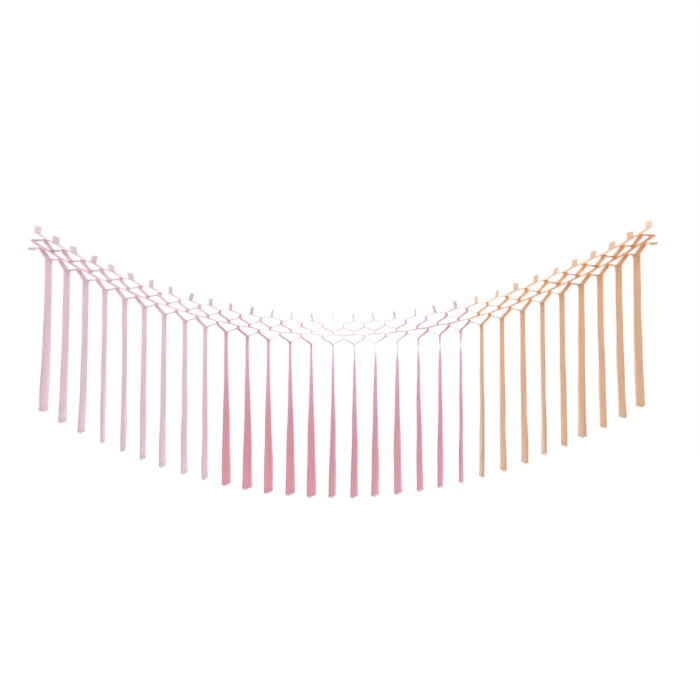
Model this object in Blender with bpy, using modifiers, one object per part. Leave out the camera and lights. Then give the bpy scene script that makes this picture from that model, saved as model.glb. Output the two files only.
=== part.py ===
"""Tissue paper garland in macrame style: a honeycomb net of glued leaves, with a tassel under each column.

A column is two strips of tissue, back to back. They are glued to each other at the tab (crown), the
waist and the foot, and to the strips of the next columns at the shoulder and the hip. Below the foot
both strips hang down as the column's tassel. The net is drawn flat, along s, and then laid on the
curve in which it hangs. Everything is in metres, with +X along the garland and +Z up. The origin is
on the outer face of the left end tab.
"""

import math

import bmesh
import bpy
from mathutils import Vector

MM = 0.001

# Sections from left to right: name, columns, twist of the tassel at its bottom, colour
sections = (
    ("pale_pink", 9, math.radians(2), (0.73, 0.52, 0.57)),
    ("rose", 12, math.radians(18), (0.69, 0.29, 0.37)),
    ("peach", 9, math.radians(-4), (0.76, 0.44, 0.27)),
)

# Garland: columns along the curve of a hanging chain, whose lowest point is a little left of the middle
columns = sum(count for _, count, _, _ in sections)
pitch = 26.35 * MM
chain_radius = 641 * MM
lowest_shift_share = -0.23
lean_share = 0.92

# Paper
leaf_depth = 25 * MM
leaf_thickness = 0.4 * MM
glue_clearance = 0.3 * MM

# One leaf in the net, from the top down, at the middle of the garland
tab_height = 9 * MM
upper_rail_drop = 2.7 * MM
shoulder_glue = 4.2 * MM
upper_arm_drop = 6.9 * MM
waist_glue = 2.8 * MM
lower_rail_drop = 0.8 * MM
hip_glue = 3.2 * MM
lower_arm_drop = 8.8 * MM
foot_glue = 2.5 * MM
end_flattening_share = 0.23
rail_straightening_share = 0.8
arm_steps = 5
upper_arm_curl_share = 1
lower_arm_curl_share = 0.5

# Tassel: two tails that part a little on the way down
tail_length = 187.5 * MM
tail_gap_top = 0.4 * MM
tail_gap_bottom = 2.4 * MM
tail_step = 2.5 * MM
tail_rows = 8
hinge_clearance = 0.3 * MM

crown_level = (
    upper_rail_drop + shoulder_glue + upper_arm_drop + waist_glue
    + lower_rail_drop + hip_glue + lower_arm_drop
) / 2


def along(column):
    """Place of a column along the hanging curve, from its lowest point."""
    return (column - (1 + columns) / 2 - lowest_shift_share) * pitch


def end_share(s):
    """How strongly the pull at the ends is felt at s: 0 at the lowest point and 1 at the farther end column."""
    reach = max(abs(along(1)), abs(along(columns)))
    return (s / reach) ** 2


def chain_point(s, height):
    """Point of the flat net at (s, height), laid on the hanging curve: x and z from the lowest point.

    With a lean share of 1 a column would stand square to the curve, and with 0 it would hang upright.
    """
    height *= 1 - end_flattening_share * end_share(s)
    slope = s / chain_radius
    tangent_x = 1 / math.hypot(1, slope)
    tangent_z = slope * tangent_x
    x = chain_radius * math.asinh(slope) - height * tangent_z * lean_share
    z = chain_radius * (math.hypot(1, slope) - 1) + height * tangent_x
    return Vector((x, z))


def hung(s, height):
    """The same point in the part's own frame, whose origin is halfway up the left end tab."""
    return chain_point(s, height) - chain_point(along(0), crown_level) - Vector((0, tab_height / 2))


def standing(column, across, above):
    """Point that stands straight above a column's crown, whatever way the net leans there."""
    return hung(along(column), crown_level) + Vector((across, above))


def hanging(column, across, below):
    """Point that hangs straight down from a column's foot, whatever way the net leans there."""
    return hung(along(column), -crown_level) + Vector((across, -below))


def arm(start, drop, side, curl_share):
    """Points of an arm that drops to another side: straight at no curl, upright at both ends at full curl."""
    points = []
    for step in range(1, arm_steps + 1):
        down_share = step / arm_steps
        eased = down_share * down_share * (3 - 2 * down_share)
        over_share = down_share + (eased - down_share) * curl_share
        points.append(Vector((start.x + (side - start.x) * over_share, start.y - drop * down_share)))
    return points


def leaf_line(clearance, place):
    """Middle line of a right-hand leaf in the net, from the tab's top to the foot's end.

    Place says where its shoulder is, in columns, because the upper rails run straighter towards the ends.
    """
    inner = leaf_thickness / 2
    outer = (pitch - clearance - leaf_thickness) / 2
    lift = upper_rail_drop * rail_straightening_share * end_share(along(place))
    line = [Vector((inner, crown_level + tab_height)), Vector((inner, crown_level))]
    for rail_drop, side_glue, arm_drop, curl_share, middle_glue in (
        (upper_rail_drop - lift, shoulder_glue, upper_arm_drop + lift, upper_arm_curl_share, waist_glue),
        (lower_rail_drop, hip_glue, lower_arm_drop, lower_arm_curl_share, foot_glue),
    ):
        line.append(Vector((outer, line[-1].y - rail_drop)))
        line.append(Vector((outer, line[-1].y - side_glue)))
        line += arm(line[-1], arm_drop, inner, curl_share)
        line.append(Vector((inner, line[-1].y - middle_glue)))
    return line


def offset_line(line, distance):
    """The line moved sideways by a distance, with mitred corners."""
    moved = []
    for i, point in enumerate(line):
        before = (point - line[i - 1]).normalized() if i else None
        after = (line[i + 1] - point).normalized() if i + 1 < len(line) else None
        one = Vector(((before or after).y, -(before or after).x))
        two = Vector(((after or before).y, -(after or before).x))
        moved.append(point - (one + two) * distance / (1 + one.dot(two)))
    return moved


def mirrored(points):
    return [Vector((-p.x, p.y)) for p in reversed(points)]


def paper(name, colour):
    material = bpy.data.materials.new(name)
    material.use_nodes = True
    shader = material.node_tree.nodes["Principled BSDF"]
    shader.inputs["Base Color"].default_value = (*colour, 1)
    shader.inputs["Roughness"].default_value = 0.85
    shader.inputs["Metallic"].default_value = 0
    return material


def flat_piece(name, outlines, origin):
    """A piece whose outlines lie in the XZ plane, as deep as a leaf, with its origin at a given point."""
    curve = bpy.data.curves.new(name, "CURVE")
    curve.dimensions = "2D"
    curve.fill_mode = "BOTH"
    curve.extrude = leaf_depth / 2
    for outline in outlines:
        spline = curve.splines.new("POLY")
        spline.points.add(len(outline) - 1)
        for point, (x, z) in zip(spline.points, outline):
            point.co = (x - origin.x, z - origin.y, 0, 1)
        spline.use_cyclic_u = True
    piece = bpy.data.objects.new(name, curve)
    piece.rotation_euler.x = math.radians(90)
    return piece


def laid(points, column):
    """Outline points of the flat net, laid on the hanging curve around a column. Tab and foot stay upright."""
    placed = []
    for p in points:
        above, below = p.y - crown_level, -crown_level - p.y
        if above > tab_height / 2:
            placed.append(standing(column, p.x, above))
        elif below > foot_glue / 2:
            placed.append(hanging(column, p.x, below))
        else:
            placed.append(hung(along(column) + p.x, p.y))
    return placed


def net_piece(name, column):
    """Both leaves of a column in the net: they are one where they are glued, with a cell above and below the waist."""
    right, left = (leaf_line(glue_clearance, column + side) for side in (0.5, -0.5))
    outlines = [offset_line(right, leaf_thickness / 2) + mirrored(offset_line(left, leaf_thickness / 2))]
    right, left = (offset_line(line, -leaf_thickness / 2) for line in (right, left))
    crown = 1
    for _ in ("upper cell", "lower cell"):
        low_end = crown + arm_steps + 2
        outlines.append(right[crown:low_end + 1] + mirrored(left[crown + 1:low_end]))
        crown = low_end + 1
    placed = [laid(outline, column) for outline in outlines]
    return flat_piece(name, placed, hung(along(column), 0))


def end_leaf(name, column, beside):
    """The single leaf past an end column, glued to it, so it reaches through the clearance at its glue lines."""
    line = leaf_line(-glue_clearance - leaf_thickness / 2, (column + beside) / 2)
    strip = offset_line(line, leaf_thickness / 2) + offset_line(line, -leaf_thickness / 2)[::-1]
    if column > beside:
        strip = mirrored(strip)
    return flat_piece(name, [laid(strip, column)], hung(along(beside), 0))


def as_mesh(piece, collection):
    """The piece as a mesh object, because a Boolean takes no curve."""
    bpy.context.scene.collection.objects.link(piece)
    bpy.context.view_layer.update()
    evaluated = piece.evaluated_get(bpy.context.evaluated_depsgraph_get())
    mesh = bpy.data.meshes.new_from_object(evaluated)
    bm = bmesh.new()
    bm.from_mesh(mesh)
    bmesh.ops.remove_doubles(bm, verts=bm.verts, dist=leaf_thickness / 100)
    bm.to_mesh(mesh)
    bm.free()
    name, place = piece.name, piece.matrix_world.copy()
    bpy.data.objects.remove(piece)
    solid = bpy.data.objects.new(name, mesh)
    solid.matrix_world = place
    collection.objects.link(solid)
    return solid


def tassel_piece(name, twist):
    """Two tails in one strip that turns over at the top, twisted about the vertical, with its origin at the hinge.

    The tail towards which the near edges turn is the shorter one.
    """
    bm = bmesh.new()
    rows = 2 * tail_rows + 1
    bmesh.ops.create_grid(bm, x_segments=rows, y_segments=1, size=1)
    top = -(hinge_clearance + leaf_thickness) / 2
    long_side = 1 if twist > 0 else -1
    for vert in bm.verts:
        row = round((vert.co.x + 1) / 2 * rows)
        side = -1 if row <= tail_rows else 1
        down_share = (tail_rows - row if side < 0 else row - tail_rows - 1) / tail_rows
        gap = tail_gap_top + (tail_gap_bottom - tail_gap_top) * down_share
        across = side * (gap + leaf_thickness) / 2
        deep = vert.co.y * leaf_depth / 2
        angle = twist * down_share
        reach = tail_length - (0 if side == long_side else tail_step)
        vert.co = (
            across * math.cos(angle) + deep * math.sin(angle),
            deep * math.cos(angle) - across * math.sin(angle),
            top - (reach + top) * down_share,
        )
    mesh = bpy.data.meshes.new(name)
    bm.to_mesh(mesh)
    bm.free()
    piece = bpy.data.objects.new(name, mesh)
    wall = piece.modifiers.new("paper", "SOLIDIFY")
    wall.thickness = leaf_thickness
    wall.offset = 0
    wall.use_even_offset = True
    return piece


def section_of(column):
    """Index of the colour section that a column is in."""
    last = 0
    for index, (_, count, _, _) in enumerate(sections):
        last += count
        if column <= last:
            return index
    return len(sections) - 1


def add_end_leaf(net, frame, column, beside, cutters):
    """Joins the single end leaf to an end column's net."""
    leaf = as_mesh(end_leaf(f"end_leaf_{column:02d}", column, beside), cutters)
    leaf.parent = frame
    leaf.hide_render = True
    leaf.display_type = "WIRE"
    glue = net.modifiers.new("glued end leaf", "BOOLEAN")
    glue.operation = "UNION"
    glue.solver = "EXACT"
    glue.object = leaf


def column_frame(name, parent, at, parent_at):
    """An empty at a column's middle, on the line along which the column slides when the net closes."""
    frame = bpy.data.objects.new(name, None)
    frame.location = at - parent_at
    frame.parent = parent
    return frame


def build():
    for old in list(bpy.data.objects):
        bpy.data.objects.remove(old)
    garland = bpy.data.collections.new("macrame_garland")
    cutters = bpy.data.collections.new("glued_in")
    for collection in (garland, cutters):
        bpy.context.scene.collection.children.link(collection)
    papers = [paper(name, colour) for name, _, _, colour in sections]
    frame, frame_at = None, Vector((0, 0, 0))
    for column in range(1, columns + 1):
        index = section_of(column)
        middle, foot = hung(along(column), 0), hanging(column, 0, foot_glue)
        middle, foot = Vector((middle.x, 0, middle.y)), Vector((foot.x, 0, foot.y))
        frame = column_frame(f"column_{column:02d}", frame, middle, frame_at)
        frame_at = middle
        garland.objects.link(frame)
        net = net_piece(f"net_{column:02d}", column)
        if column in (1, columns):
            net = as_mesh(net, garland)
            add_end_leaf(net, frame, 0 if column == 1 else columns + 1, column, cutters)
        else:
            garland.objects.link(net)
        tassel = tassel_piece(f"tassel_{column:02d}", sections[index][2])
        garland.objects.link(tassel)
        tassel.location = foot - middle
        for piece in (net, tassel):
            piece.parent = frame
            piece.data.materials.append(papers[index])
    bpy.context.view_layer.update()


build()
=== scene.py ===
import math
import random

import bmesh
import bpy
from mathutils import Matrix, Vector


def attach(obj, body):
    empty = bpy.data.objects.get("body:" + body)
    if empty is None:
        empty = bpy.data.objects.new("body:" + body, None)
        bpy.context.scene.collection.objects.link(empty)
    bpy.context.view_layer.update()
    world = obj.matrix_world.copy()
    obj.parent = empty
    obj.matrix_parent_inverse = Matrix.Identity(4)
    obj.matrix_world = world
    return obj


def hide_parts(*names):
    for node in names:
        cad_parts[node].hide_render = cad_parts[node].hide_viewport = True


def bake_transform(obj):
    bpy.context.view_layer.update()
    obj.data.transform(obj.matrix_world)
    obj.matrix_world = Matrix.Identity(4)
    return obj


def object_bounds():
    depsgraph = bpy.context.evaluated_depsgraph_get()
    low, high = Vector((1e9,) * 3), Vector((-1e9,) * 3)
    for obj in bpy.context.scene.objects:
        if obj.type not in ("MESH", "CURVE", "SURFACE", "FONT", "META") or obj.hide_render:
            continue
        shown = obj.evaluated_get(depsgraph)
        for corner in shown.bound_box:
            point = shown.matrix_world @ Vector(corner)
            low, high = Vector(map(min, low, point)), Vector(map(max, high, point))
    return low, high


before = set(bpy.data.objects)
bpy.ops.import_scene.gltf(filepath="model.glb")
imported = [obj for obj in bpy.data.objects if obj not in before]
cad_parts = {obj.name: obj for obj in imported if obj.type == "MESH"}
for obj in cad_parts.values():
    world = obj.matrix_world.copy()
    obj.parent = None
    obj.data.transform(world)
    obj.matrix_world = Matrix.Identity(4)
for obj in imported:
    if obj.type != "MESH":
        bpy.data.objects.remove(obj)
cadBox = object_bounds()
print("frame loaded:", len(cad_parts), "nodes")

mm = 0.001

# The garland and its leaves, with the same lengths as the CAD model
garland = {
    "sections": (("pale_pink", 9), ("rose", 12), ("peach", 9)),
    "pitch": 26.35 * mm,
    "chainRadius": 641 * mm,
    "lowestShiftShare": -0.23,
    "endFlatteningShare": 0.23,
    "leanShare": 0.92,  # columns hang a little straighter than square to the curve
}
columns = sum(count for _, count in garland["sections"])

leaf = {
    "depth": 25 * mm,
    "paper": 0.08 * mm,
    "gluedGap": 0.2 * mm,  # between the middles of two glued plies
    "tab": 9 * mm,
    "upperRail": 2.7 * mm,
    "railStraighteningShare": 0.8,  # upper rails run straighter towards the ends
    "shoulder": 4.2 * mm,
    "upperArm": 6.9 * mm,
    "waist": 2.8 * mm,
    "lowerRail": 0.8 * mm,
    "hip": 3.2 * mm,
    "lowerArm": 8.8 * mm,
    "foot": 2.5 * mm,
    # How much of the glued-and-lit colour and of the tab's colour each part takes on, and its painted
    # shading, which darkens it for shade and, where negative, lightens it for light
    "tints": {
        "tab": (0, 1, 0),
        "upperRail": (0.25, 0.75, 0.15),
        "glue": (0.65, 0.3, -0.27),
        "upperArm": (0.9, 0, -0.08),
        "upperArmFlat": (0.5, 0.2, 0.08),
        "lowerRail": (0.5, 0.35, -0.05),
        "lowerArm": (0.9, 0, 0.06),
        "lowerArmFlat": (0.6, 0.1, 0.28),
        "foot": (0.6, 0, 0.08),
    },
    "tintHoldShare": 0.8,  # how far down a tab or rail its own tint lasts
    "roseArmShare": 0.55,  # rose arms take on less of the paler glued-and-lit colour and its painted light
    "upperCurlShare": 1,
    "lowerCurlShare": 0.5,
    "steepStraightening": 0.4,  # towards the ends the steep arms run straighter
    "flatCurling": 0.7,  # and the flat arms hook at both their ends
    "armSteps": 10,
    "peel": 1.6 * mm,  # how much sooner the flat arm leaves the glue line above it there
    "web": 1.7 * mm,  # how far the flat arm's leaf still stands off at the foot there
    "webHeight": 10 * mm,
    "fold": 0.9 * mm,  # how far from a corner the paper starts to bend
    "foldShares": {"crown": 1, "side": 0.7, "glue": 0.5},
    "foldReachShare": 0.45,  # the most that a bend takes of the stretch beside it
    "foldSteps": 4,
    "shortest": mm / 10,
    "step": 1.5 * mm,
    "across": 6,
    "wander": 0.35 * mm,  # how far hand-glued lines stray
    "turn": math.radians(1.5),
    "tiltShare": 0.025,  # how much higher the far edge lies, as a share of the depth
    "rightTiltShare": 0.01,  # and how much more it does so in the right half
    "rightTiltColumns": 5,  # which it reaches this many columns past the lowest point
    "tiltStrayShare": 0.018,
}

crownLevel = (
    leaf["upperRail"] + leaf["shoulder"] + leaf["upperArm"] + leaf["waist"]
    + leaf["lowerRail"] + leaf["hip"] + leaf["lowerArm"]
) / 2


def along(place):
    return (place - (1 + columns) / 2 - garland["lowestShiftShare"]) * garland["pitch"]


def endShare(s):
    return (s / max(abs(along(1)), abs(along(columns)))) ** 2


def chainPoint(s, height):
    height *= 1 - garland["endFlatteningShare"] * endShare(s)
    slope = s / garland["chainRadius"]
    tangentX = 1 / math.hypot(1, slope)
    tangentZ = slope * tangentX
    x = garland["chainRadius"] * math.asinh(slope) - height * tangentZ * garland["leanShare"]
    z = garland["chainRadius"] * (math.hypot(1, slope) - 1) + height * tangentX
    return Vector((x, z))


def hung(s, height):
    return chainPoint(s, height) - chainPoint(along(0), crownLevel) - Vector((0, leaf["tab"] / 2))


# Where the hung paper leaves the even curve: end columns lean outwards, and some peach ones sit higher
settling = {
    "endLean": 2.2 * mm,
    "highColumn": 25.7,
    "highReach": 3.5,
    "footLift": 1.3 * mm,
    "crownLift": 0.9 * mm,  # on top of the foot's
}


def settled(s, height):
    up = (height + crownLevel) / (2 * crownLevel)
    away = (s - along(settling["highColumn"])) / (settling["highReach"] * garland["pitch"])
    lift = max(0, 1 - away ** 2) ** 2 * (settling["footLift"] + settling["crownLift"] * up)
    lean = math.copysign(settling["endLean"] * endShare(s) ** 2 * up, s)
    return hung(s, height) + Vector((lean, lift))


def sectionOf(column):
    last = 0
    for name, count in garland["sections"]:
        last += count
        if column <= last:
            return name
    return garland["sections"][-1][0]


def stray(kind, place, size):
    # The same glue line gives the same number for both leaves that it holds
    return random.Random(f"{kind} {place}").uniform(-size, size)


def eased(share):
    share = min(max(share, 0), 1)
    return share * share * (3 - 2 * share)


def linked(name, data):
    item = bpy.data.objects.new(name, data)
    bpy.context.scene.collection.objects.link(item)
    return item


def meshed(name, bm):
    mesh = bpy.data.meshes.new(name)
    bm.to_mesh(mesh)
    bm.free()
    return linked(name, mesh)


def calculated(nodes, links, kind, *values):
    node = nodes.new("ShaderNodeMath")
    node.operation = kind
    for socket, value in zip(node.inputs, values):
        if isinstance(value, (int, float)):
            socket.default_value = value
        else:
            links.new(value, socket)
    return node.outputs[0]


# Camera first: level and square to the garland, at the height of the net's lowest point
cameraView = {
    "lens": 44.74,
    "distance": 1087.5 * mm,
    "besideLowest": 7.9 * mm,
    "belowLowest": 2 * mm,
    "shiftX": 5 / 700,  # shares of the picture's width
    "shiftY": -15 / 700,
}


def addCamera():
    lowest = hung(0, 0)
    data = bpy.data.cameras.new("camera")
    data.lens = cameraView["lens"]
    data.shift_x = cameraView["shiftX"]
    data.shift_y = cameraView["shiftY"]
    camera = linked("camera", data)
    camera.location = (
        lowest.x + cameraView["besideLowest"],
        -cameraView["distance"],
        lowest.y - cameraView["belowLowest"],
    )
    camera.rotation_euler = (math.radians(90), 0, 0)
    bpy.context.scene.camera = camera


addCamera()
print("camera placed")

# Patterns in the paper: how fine along and across the strip, and how much they change its tone
grain = {
    "clouds": {"scale": (60, 110, 1), "detail": 2, "roughness": 0.55, "weight": 0.5},
    "fibres": {"scale": (900, 3200, 1), "detail": 3, "roughness": 0.6, "weight": 0.22},
    "creases": {"scale": (14, 260, 1), "detail": 3, "roughness": 0.5, "weight": 0.4},
}
fibreHeight = 0.3  # of the height that clouds and creases give the surface


# Paper: one node group for the surface of every colour of tissue
def tissueGroup():
    group = bpy.data.node_groups.new("tissueSurface", "ShaderNodeTree")
    face = group.interface
    for name, kind in (
        ("Place", "NodeSocketVector"), ("Paper", "NodeSocketColor"), ("GluedAndLit", "NodeSocketColor"),
        ("Tab", "NodeSocketColor"), ("GluedAndLitShare", "NodeSocketFloat"), ("Pale", "NodeSocketFloat"),
        ("PaintedShading", "NodeSocketFloat"), ("Cloud", "NodeSocketFloat"),
    ):
        face.new_socket(name, in_out="INPUT", socket_type=kind)
    for name, kind in (("Color", "NodeSocketColor"), ("Height", "NodeSocketFloat")):
        face.new_socket(name, in_out="OUTPUT", socket_type=kind)
    nodes, links = group.nodes, group.links
    inside = nodes.new("NodeGroupInput")
    outside = nodes.new("NodeGroupOutput")

    def noise(settings):
        mapping = nodes.new("ShaderNodeMapping")
        mapping.inputs["Scale"].default_value = settings["scale"]
        links.new(inside.outputs["Place"], mapping.inputs["Vector"])
        texture = nodes.new("ShaderNodeTexNoise")
        texture.inputs["Scale"].default_value = 1
        texture.inputs["Detail"].default_value = settings["detail"]
        texture.inputs["Roughness"].default_value = settings["roughness"]
        links.new(mapping.outputs["Vector"], texture.inputs["Vector"])
        return texture.outputs["Fac"]

    def sums(kind, one, two):
        return calculated(nodes, links, kind, one, two)

    def mixed(share, one, two):
        node = nodes.new("ShaderNodeMix")
        node.data_type = "RGBA"
        links.new(share, node.inputs["Factor"])
        links.new(one, node.inputs["A"])
        links.new(two, node.inputs["B"])
        return node.outputs["Result"]

    patterns = {name: noise(settings) for name, settings in grain.items()}

    def swing(name):
        return sums("MULTIPLY", sums("SUBTRACT", patterns[name], 0.5), grain[name]["weight"])

    tone = sums("ADD", swing("clouds"), sums("ADD", swing("fibres"), swing("creases")))
    tone = sums("ADD", sums("MULTIPLY", tone, inside.outputs["Cloud"]), 1)
    # Painted shading: the tone is darkened for shade, and lightened for light where the share is negative
    tone = sums("MULTIPLY", tone, sums("SUBTRACT", 1, inside.outputs["PaintedShading"]))
    # The pale tab colour is painted sheen: paler and greyer, as paper seen at grazing angles looks, on
    # tabs and rails
    base = mixed(inside.outputs["Pale"], inside.outputs["Paper"], inside.outputs["Tab"])
    # The glued-and-lit colour is pinker where plies are glued, and painted lighter for light passing
    # through the thin paper into the net's cells, on the arms too
    base = mixed(inside.outputs["GluedAndLitShare"], base, inside.outputs["GluedAndLit"])
    shade = nodes.new("ShaderNodeVectorMath")
    shade.operation = "SCALE"
    links.new(base, shade.inputs[0])
    links.new(tone, shade.inputs["Scale"])
    links.new(shade.outputs[0], outside.inputs["Color"])
    height = sums("ADD", patterns["clouds"], patterns["creases"])
    height = sums("ADD", sums("MULTIPLY", patterns["fibres"], fibreHeight), height)
    links.new(height, outside.inputs["Height"])
    return group


surface = tissueGroup()

# Linear colours of each tissue: bare; where it is glued, pinker and painted lighter for the light that the
# thin paper lets into the net's closed cells; and at the tabs
tissues = {
    "pale_pink": {"paper": (0.73, 0.57, 0.61), "gluedAndLit": (0.87, 0.68, 0.74), "tab": (0.70, 0.57, 0.60)},
    "rose": {"paper": (0.68, 0.31, 0.385), "gluedAndLit": (0.84, 0.60, 0.66), "tab": (0.70, 0.56, 0.60)},
    "peach": {"paper": (0.70, 0.45, 0.27), "gluedAndLit": (0.87, 0.53, 0.22), "tab": (0.76, 0.53, 0.39)},
}
tissueLook = {
    "alphas": {"net": 0.7, "tail": 0.55},  # thin paper lets light through
    "roughness": 0.8,
    "specular": 0.25,
    "cloud": 0.3,
    "bump": 0.2,
    "bumpDistance": 0.15 * mm,
}


def tissue(name, part):
    material = bpy.data.materials.new(f"{name}_{part}_tissue")
    material.use_nodes = True
    nodes, links = material.node_tree.nodes, material.node_tree.links
    shader = nodes["Principled BSDF"]
    shader.inputs["Roughness"].default_value = tissueLook["roughness"]
    shader.inputs["Alpha"].default_value = tissueLook["alphas"][part]
    shader.inputs["Specular IOR Level"].default_value = tissueLook["specular"]
    paper = nodes.new("ShaderNodeGroup")
    paper.node_tree = surface
    for socket, key in (("Paper", "paper"), ("GluedAndLit", "gluedAndLit"), ("Tab", "tab")):
        paper.inputs[socket].default_value = (*tissues[name][key], 1)
    paper.inputs["Cloud"].default_value = tissueLook["cloud"]
    place = nodes.new("ShaderNodeUVMap")
    place.uv_map = "paper"
    links.new(place.outputs["UV"], paper.inputs["Place"])
    for attribute, socket in (("glue", "GluedAndLitShare"), ("pale", "Pale"), ("paintedShading", "PaintedShading")):
        node = nodes.new("ShaderNodeAttribute")
        node.attribute_name = attribute
        links.new(node.outputs["Fac"], paper.inputs[socket])
    bump = nodes.new("ShaderNodeBump")
    bump.inputs["Strength"].default_value = tissueLook["bump"]
    bump.inputs["Distance"].default_value = tissueLook["bumpDistance"]
    links.new(paper.outputs["Height"], bump.inputs["Height"])
    links.new(paper.outputs["Color"], shader.inputs["Base Color"])
    links.new(bump.outputs["Normal"], shader.inputs["Normal"])
    return material


materials = {(name, part): tissue(name, part) for name in tissues for part in tissueLook["alphas"]}
print("tissues made:", len(materials))


# A strip of paper: a grid, one unit wide at first, whose rows follow a route down the strip.
# Each row runs from the near edge to the far one.
def strip(name, section, part, rows, placeAt):
    bm = bmesh.new()
    uvs = bm.loops.layers.uv.new("paper")
    # Vertex layers: the share of the glued-and-lit colour, painted light on top of the glue's pinker
    # colour; the share of the pale tab colour, painted sheen; and the painted shading
    glue, pale, paintedShading = (bm.verts.layers.float.new(layer) for layer in ("glue", "pale", "paintedShading"))
    bmesh.ops.create_grid(bm, x_segments=rows, y_segments=leaf["across"], size=0.5, calc_uvs=True)
    runs = {}
    patternStart = random.Random(name).uniform(0, 1)
    for vert in bm.verts:
        row = round((vert.co.x + 0.5) * rows)
        deep = vert.co.y * leaf["depth"]
        vert.co, run, (vert[glue], vert[pale], vert[paintedShading]) = placeAt(row, deep)
        runs[vert] = (run + patternStart, deep)
    for bmFace in bm.faces:
        for loop in bmFace.loops:
            loop[uvs].uv = runs[loop.vert]
    for edge in bm.edges:
        edge.smooth = not edge.is_boundary  # crisp where the paper was cut
    piece = meshed(name, bm)
    for polygon in piece.data.polygons:
        polygon.use_smooth = True
    piece.data.materials.append(materials[section, part])
    wall = piece.modifiers.new("paper", "SOLIDIFY")
    wall.thickness = leaf["paper"]
    wall.offset = 0
    return piece


def isSteep(column, side):
    return side * along(column) > 0


def tiltAt(s):
    reach = leaf["rightTiltColumns"] * garland["pitch"]
    return leaf["tiltShare"] + leaf["rightTiltShare"] * eased(s / reach)


def web(column, side, below):
    if isSteep(column, side):
        return 0
    reach = leaf["web"] * math.sqrt(endShare(along(column)))
    return side * reach * max(0, 1 - below / leaf["webHeight"]) ** 2


# A key is a point down the strip with its fold, its turn about the vertical, its tilt and its tint,
# which is how much of the glued-and-lit colour and of the pale tab colour the paper takes on, and its
# painted shading
def netKey(kind, place, height, offset, foldShare, tint, turn=None):
    if turn is None:
        turn = stray(kind + " turn", place, leaf["turn"])
    tilt = tiltAt(along(place)) + stray(kind + " tilt", place, leaf["tiltStrayShare"])
    strayed = height + stray(kind, place, leaf["wander"])
    point = settled(along(place) + stray(kind + " along", place, leaf["wander"]), strayed)
    return [point + Vector((offset, 0)), foldShare * leaf["fold"], turn, tilt, *tint]


def mixKeys(one, two, share):
    return [one[0].lerp(two[0], share)] + [a + (b - a) * share for a, b in zip(one[1:], two[1:])]


def armKeys(start, end, curlShare, tint):
    keys = []
    for step in range(1, leaf["armSteps"]):
        down = step / leaf["armSteps"]
        over = down + (eased(down) - down) * curlShare
        point = Vector((
            start[0].x + (end[0].x - start[0].x) * over,
            start[0].y + (end[0].y - start[0].y) * down,
        ))
        turnAndTilt = (a + (b - a) * down for a, b in zip(start[2:4], end[2:4]))
        keys.append([point, 0, *turnAndTilt, *tint])
    return keys


# Degrees that each tab leans to the right, from the end tab on the left to the one on the right
tabLeans = (
    7, 5, -11, 14, -15, -10, 3, 2, 15, 3, 6, 11, 7, -9, -5, -5,
    -8, -14, -8, -1, -20, -11, 0, 13, 0, 4, 17, 7, 8, 6, -3, 3,
)


# One leaf in the net, from the tab's top to the foot's end
def leafKeys(column, side):
    half = leaf["gluedGap"] / 2 * side
    beside = column + side / 2
    outer = along(beside)
    pull = math.sqrt(endShare(outer))
    steep = isSteep(column, side)
    tints, folds = leaf["tints"], leaf["foldShares"]
    armShare = leaf["roseArmShare"] if sectionOf(column) == "rose" else 1
    bend = (-leaf["steepStraightening"] if steep else leaf["flatCurling"]) * pull
    peel = 0 if steep else leaf["peel"] * pull
    level = crownLevel
    crown = netKey("crown", column, level, half, folds["crown"], tints["upperRail"])
    lean = math.tan(math.radians(tabLeans[column]))
    tabTop = crown[0] + Vector((lean * leaf["tab"], leaf["tab"]))
    keys = [[tabTop, 0, crown[2] * 2, crown[3], *tints["tab"]]]
    tabEnd = mixKeys(keys[0], crown, leaf["tintHoldShare"])
    tabEnd[1:] = [0, crown[2], crown[3], *tints["tab"]]
    keys += [tabEnd, crown]
    for rail, sideGlue, armDrop, curl, middleGlue in (
        ("upperRail", "shoulder", "upperArm", "upperCurlShare", "waist"),
        ("lowerRail", "hip", "lowerArm", "lowerCurlShare", "foot"),
    ):
        atFoot = middleGlue == "foot"
        level -= leaf[rail]
        lift = 0 if atFoot else leaf[rail] * leaf["railStraighteningShare"] * endShare(outer)
        corner = netKey(sideGlue, beside, level + lift, -half, folds["side"], tints["glue"])
        railEnd = mixKeys(keys[-1], corner, leaf["tintHoldShare"])
        railEnd[1:] = [0, corner[2], corner[3], *tints[rail]]
        level -= leaf[sideGlue]
        start = netKey(sideGlue, beside, level + lift + peel, -half, folds["glue"], tints["glue"])
        offset = half + (web(column, side, 0) if atFoot else 0)
        endTint = tints["foot"] if atFoot else tints["glue"]
        endTurn = footTurn(column) if atFoot else None
        end = netKey(
            middleGlue, column, level - leaf[armDrop], offset, folds["glue"], endTint, endTurn,
        )
        # Arms take on the glued-and-lit colour as painted light, where the net's cells would shade them
        gluedAndLit, pale, paintedShading = tints[armDrop if steep else armDrop + "Flat"]
        arm = armKeys(start, end, leaf[curl] + bend, (gluedAndLit * armShare, pale, paintedShading))
        keys += [railEnd, corner, start, *arm, end]
        level -= leaf[armDrop] + leaf[middleGlue]
        if atFoot:
            closing = web(column, side, leaf["foot"]) - web(column, side, 0)
            footEnd = end[0] + Vector((closing, -leaf["foot"]))
            keys.append([footEnd, 0, end[2], end[3], *endTint])
        else:
            keys.append(netKey(middleGlue, column, level, half, folds["glue"], endTint))
    return keys


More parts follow.
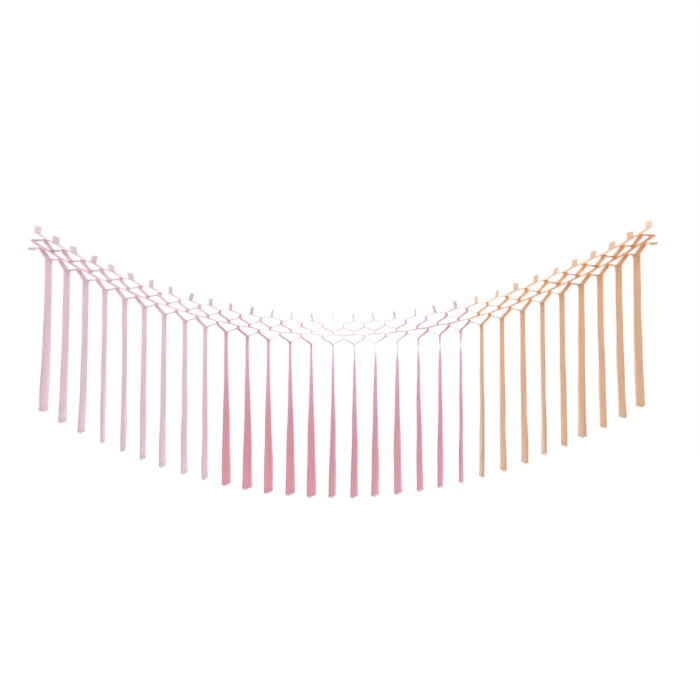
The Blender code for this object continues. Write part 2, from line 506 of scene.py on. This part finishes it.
def foldedRoute(keys):
    # Corners become short bends, and long stretches get points in between
    bent = [keys[0]]
    for before, corner, after in zip(keys, keys[1:], keys[2:]):
        if not corner[1]:
            bent.append(corner)
            continue
        bendEnds = []
        for other in (before, after):
            stretch = max((other[0] - corner[0]).length, leaf["shortest"])
            bendEnds.append(mixKeys(corner, other, min(corner[1] / stretch, leaf["foldReachShare"])))
        start, end = bendEnds
        for step in range(leaf["foldSteps"] + 1):
            share = step / leaf["foldSteps"]
            bent.append(mixKeys(mixKeys(start, corner, share), mixKeys(corner, end, share), share))
    bent.append(keys[-1])
    route = [bent[0]]
    for point in bent[1:]:
        steps = max(1, round((point[0] - route[-1][0]).length / leaf["step"]))
        start = route[-1]
        route += [mixKeys(start, point, (step + 1) / steps) for step in range(steps)]
    return route


def makeLeaf(name, column, side):
    route = foldedRoute(leafKeys(column, side))
    runs = [0]
    for before, after in zip(route, route[1:]):
        runs.append(runs[-1] + (after[0] - before[0]).length)

    def placeAt(row, deep):
        point, _, turn, tilt, *tint = route[row]
        x = point.x + math.sin(turn) * deep
        return (x, math.cos(turn) * deep, point.y + tilt * deep), runs[row], tint

    section = sectionOf(min(max(column, 1), columns))
    piece = strip(name, section, "net", len(route) - 1, placeAt)
    return piece, route[-1]


tail = {
    "length": 187.5 * mm,
    "step": 1.2 * mm,  # how much shorter the ply is that shows beside the other
    "rows": 48,
    "blend": 12 * mm,
    "untilt": 25 * mm,
    "spread": 2 * mm,
    "spreadStray": (0.8, 1.2),
    "firstSpread": 2,  # the first column's tails stand this many times as far apart
    "spreadCurve": 1.3,
    # How much of its turning a tassel has done at its foot already
    "footTurnShares": {"pale_pink": 0.3, "rose": 0.1, "peach": 0.3},
    "earlyTurning": 30 * mm,  # where the rose tassels do their first turning
    "earlyTurnShare": 0.8,  # and how much of it the last of them does there
    "evenTurning": 0.45,
    "easedTurning": 0.6,
    "easedTurningPace": 1.15,
    "driftPace": 0.7,
    "sway": 1 * mm,
    "curl": 0.6 * mm,
    "curlMiddle": 0.33,  # keeps a curled tail's middle where it was
    "wave": 0.35 * mm,
    "waveStray": (0.4, 1),
    "waveCounts": (1.5, 2.7),
    "waveDraws": 4,  # two are used, and the other two keep the later draws in their places
    "waveGrowth": 3,  # waves are full from one third of the way down
    "topWaveShare": 0.35,
    "tip": 6 * mm,
    "tipPaintedShade": 0.25,  # painted shade: the cut ends are painted darker
    # How far down the paper keeps a share of the glued-and-lit colour as a painted glow, and that share
    "glows": {"pale_pink": (50 * mm, 0.5), "rose": (100 * mm, 0.6), "peach": (50 * mm, 0.15)},
}

# Degrees that each tassel is turned at its bottom, near edge to the left, and millimetres that it drifts
tailTurns = (
    0, -0.5, -1, -6, -2, 1, 3, 4, 5,
    13, 17, 17, 19.5, 20, 14.5, 17, 19, 21, 19.5, 19, 16,
    -0.5, -4, -4, 3.5, -1, -1.5, 0, -0.5, -1.5,
)
tailDrifts = (
    -6.5, -5, -5, -3, -2, -2, -2, -1, -0.5,
    0, 0, 0.5, 0, 0, -1, -0.5, -0.5, 1, 2, 0.5, 0.5,
    0, 1.5, 2.5, 2.5, 2.5, 1, 4, 5, 4,
)


def footTurn(column):
    if not 1 <= column <= columns:
        return 0
    return math.radians(tailTurns[column - 1]) * tail["footTurnShares"][sectionOf(column)]


def earlyTurn(column):
    # The rose tassels turn earlier and earlier towards the right
    if sectionOf(column) != "rose":
        return footTurn(column)
    (_, before), (_, count), _ = garland["sections"]
    share = ((column - before) / count) ** 2 * tail["earlyTurnShare"]
    return math.radians(tailTurns[column - 1]) * share


def makeTail(name, column, side, end):
    top, _, startTurn, startTilt = end[:4]
    section = sectionOf(column)
    early = earlyTurn(column)
    turn = math.radians(tailTurns[column - 1])
    drift = tailDrifts[column - 1] * mm
    shorter = -1 if section != "peach" else 1
    length = tail["length"] - (tail["step"] if side == shorter else 0)
    chance = random.Random(f"tail {column} {side}")
    spread = tail["spread"] * chance.uniform(*tail["spreadStray"])
    spread *= tail["firstSpread"] if column == 1 else 1
    phases = [chance.uniform(0, math.tau) for _ in range(tail["waveDraws"])]
    waves = [chance.uniform(*tail["waveStray"]) * tail["wave"] for _ in range(tail["waveDraws"])]
    sway = random.Random(f"tassel {column}").uniform(-1, 1) * tail["sway"]  # the same for both tails
    curl = chance.uniform(-1, 1) * tail["curl"]
    slowWave, quickWave = tail["waveCounts"]
    glowReach, glow = tail["glows"][section]
    middle = top.x - side * leaf["gluedGap"] / 2 - web(column, side, leaf["foot"])

    def placeAt(row, deep):
        down = row / tail["rows"]
        drop = down * length
        angle = startTurn + (early - startTurn) * eased(drop / tail["earlyTurning"])
        turned = tail["evenTurning"] * down + tail["easedTurning"] * eased(down * tail["easedTurningPace"])
        angle += (turn - early) * turned
        edge = deep / leaf["depth"] * 2
        wavy = waves[0] * math.sin(phases[0] + math.tau * down * slowWave)
        wavy += waves[1] * math.sin(phases[1] + math.tau * down * quickWave + edge)
        wavy += curl * (edge * edge - tail["curlMiddle"])
        grown = tail["topWaveShare"] + (1 - tail["topWaveShare"]) * down
        wavy *= eased(down * tail["waveGrowth"]) * grown
        across = side * (leaf["gluedGap"] + spread * down ** tail["spreadCurve"]) / 2
        across += wavy + web(column, side, leaf["foot"] + drop)
        tilt = startTilt * deep * (1 - eased(drop / tail["untilt"]))
        x = middle + drift * eased(down * tail["driftPace"]) / eased(tail["driftPace"])
        x += sway * math.sin(math.pi * down) * down
        x += across * math.cos(angle) + math.sin(angle) * deep
        y = deep * math.cos(angle) - across * math.sin(angle)
        # A painted glow of the glued-and-lit colour fades down from the top of the tail
        gluedAndLit = glow * max(0, 1 - drop / glowReach) if row else leaf["tints"]["foot"][0]
        # Painted shade darkens the last few millimetres at the cut end
        tip = tail["tipPaintedShade"] * max(0, 1 - (length - drop) / tail["tip"])
        return (x, y, top.y - drop + tilt), drop, (gluedAndLit, 0, tip)

    return strip(name, section, "tail", tail["rows"], placeAt)


def at(point):
    return (point.x, 0, point.y)


def buildEndLeaf(word, column, side, net):
    piece, _ = makeLeaf(f"end_leaf_{word}", column, side)
    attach(piece, net)
    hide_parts(net)


def buildHalfColumn(word, column, side):
    net = f"net_{column:02d}"
    piece, end = makeLeaf(f"leaf_{column:02d}_{word}", column, side)
    beside = column + side
    if 1 <= beside <= columns:
        low, high = min(column, beside), max(column, beside)
        at(hung(along(low), 0))
        at(hung(along(high), 0))
        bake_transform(piece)
    else:
        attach(piece, net)
    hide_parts(net)
    hanging = makeTail(f"tail_{column:02d}_{word}", column, side, end)
    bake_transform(hanging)
    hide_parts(f"tassel_{column:02d}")


def buildGarland():
    buildEndLeaf("left", 0, 1, "net_01")
    for column in range(1, columns + 1):
        buildHalfColumn("left", column, -1)
        buildHalfColumn("right", column, 1)
    buildEndLeaf("right", columns + 1, -1, f"net_{columns:02d}")


buildGarland()
print("leaves and tails made")

# Light: a white world, brightest in front and behind, and a weak soft lamp from the upper left
lighting = {
    "allRound": 0.8,
    "frontAndBack": 2.3,
    "lampPower": 12,
    "lampSize": 1.6,
    "lampPlace": (-0.7, -1.7, 1.2),
    "floorDrop": 750 * mm,
    "floorSize": 6,
    "floorTone": 0.9,
    "floorWhiteShare": 0.9,
}


def seenDirectly(nodes, links):
    path = nodes.new("ShaderNodeLightPath")
    seen = path.outputs["Is Camera Ray"]
    for ray in ("Is Glossy Ray", "Is Transmission Ray"):
        seen = calculated(nodes, links, "MAXIMUM", seen, path.outputs[ray])
    return seen


def addWorld():
    world = bpy.data.worlds.new("world")
    bpy.context.scene.world = world
    world.use_nodes = True
    nodes, links = world.node_tree.nodes, world.node_tree.links
    light = nodes["Background"]
    light.inputs["Color"].default_value = (1, 1, 1, 1)
    place = nodes.new("ShaderNodeTexCoord")
    parts = nodes.new("ShaderNodeSeparateXYZ")
    links.new(place.outputs["Generated"], parts.inputs[0])
    depth = parts.outputs["Y"]
    square = calculated(nodes, links, "MULTIPLY", depth, depth)
    strength = calculated(
        nodes, links, "MULTIPLY_ADD", square, lighting["frontAndBack"], lighting["allRound"],
    )
    links.new(strength, light.inputs["Strength"])
    white = nodes.new("ShaderNodeBackground")
    white.inputs["Color"].default_value = (1, 1, 1, 1)
    mix = nodes.new("ShaderNodeMixShader")
    links.new(seenDirectly(nodes, links), mix.inputs["Fac"])
    links.new(light.outputs[0], mix.inputs[1])
    links.new(white.outputs[0], mix.inputs[2])
    links.new(mix.outputs[0], nodes["World Output"].inputs["Surface"])


def addFloor():
    level = cadBox[0][2] - lighting["floorDrop"]
    bm = bmesh.new()
    bmesh.ops.create_grid(bm, x_segments=1, y_segments=1, size=lighting["floorSize"])
    bmesh.ops.translate(bm, verts=bm.verts, vec=(hung(0, 0).x, 0, level))
    floor = meshed("floor", bm)
    material = bpy.data.materials.new("pale_floor")
    material.use_nodes = True
    nodes, links = material.node_tree.nodes, material.node_tree.links
    nodes.remove(nodes["Principled BSDF"])
    diffuse = nodes.new("ShaderNodeBsdfDiffuse")
    tone = lighting["floorTone"]
    diffuse.inputs["Color"].default_value = (tone, tone, tone, 1)
    white = nodes.new("ShaderNodeEmission")
    seen = seenDirectly(nodes, links)
    share = calculated(nodes, links, "MULTIPLY", seen, lighting["floorWhiteShare"])
    mix = nodes.new("ShaderNodeMixShader")
    links.new(share, mix.inputs["Fac"])
    links.new(diffuse.outputs[0], mix.inputs[1])
    links.new(white.outputs[0], mix.inputs[2])
    links.new(mix.outputs[0], nodes["Material Output"].inputs["Surface"])
    floor.data.materials.append(material)


def addLamp():
    data = bpy.data.lights.new("soft_lamp", "AREA")
    data.energy = lighting["lampPower"]
    data.size = lighting["lampSize"]
    lamp = linked("soft_lamp", data)
    lamp.location = lighting["lampPlace"]
    aim = Vector(at(hung(0, 0))) - lamp.location
    lamp.rotation_euler = aim.to_track_quat("-Z", "Y").to_euler()


addWorld()
addFloor()
addLamp()
bpy.context.scene.view_settings.view_transform = "Standard"
print("stage and light set")
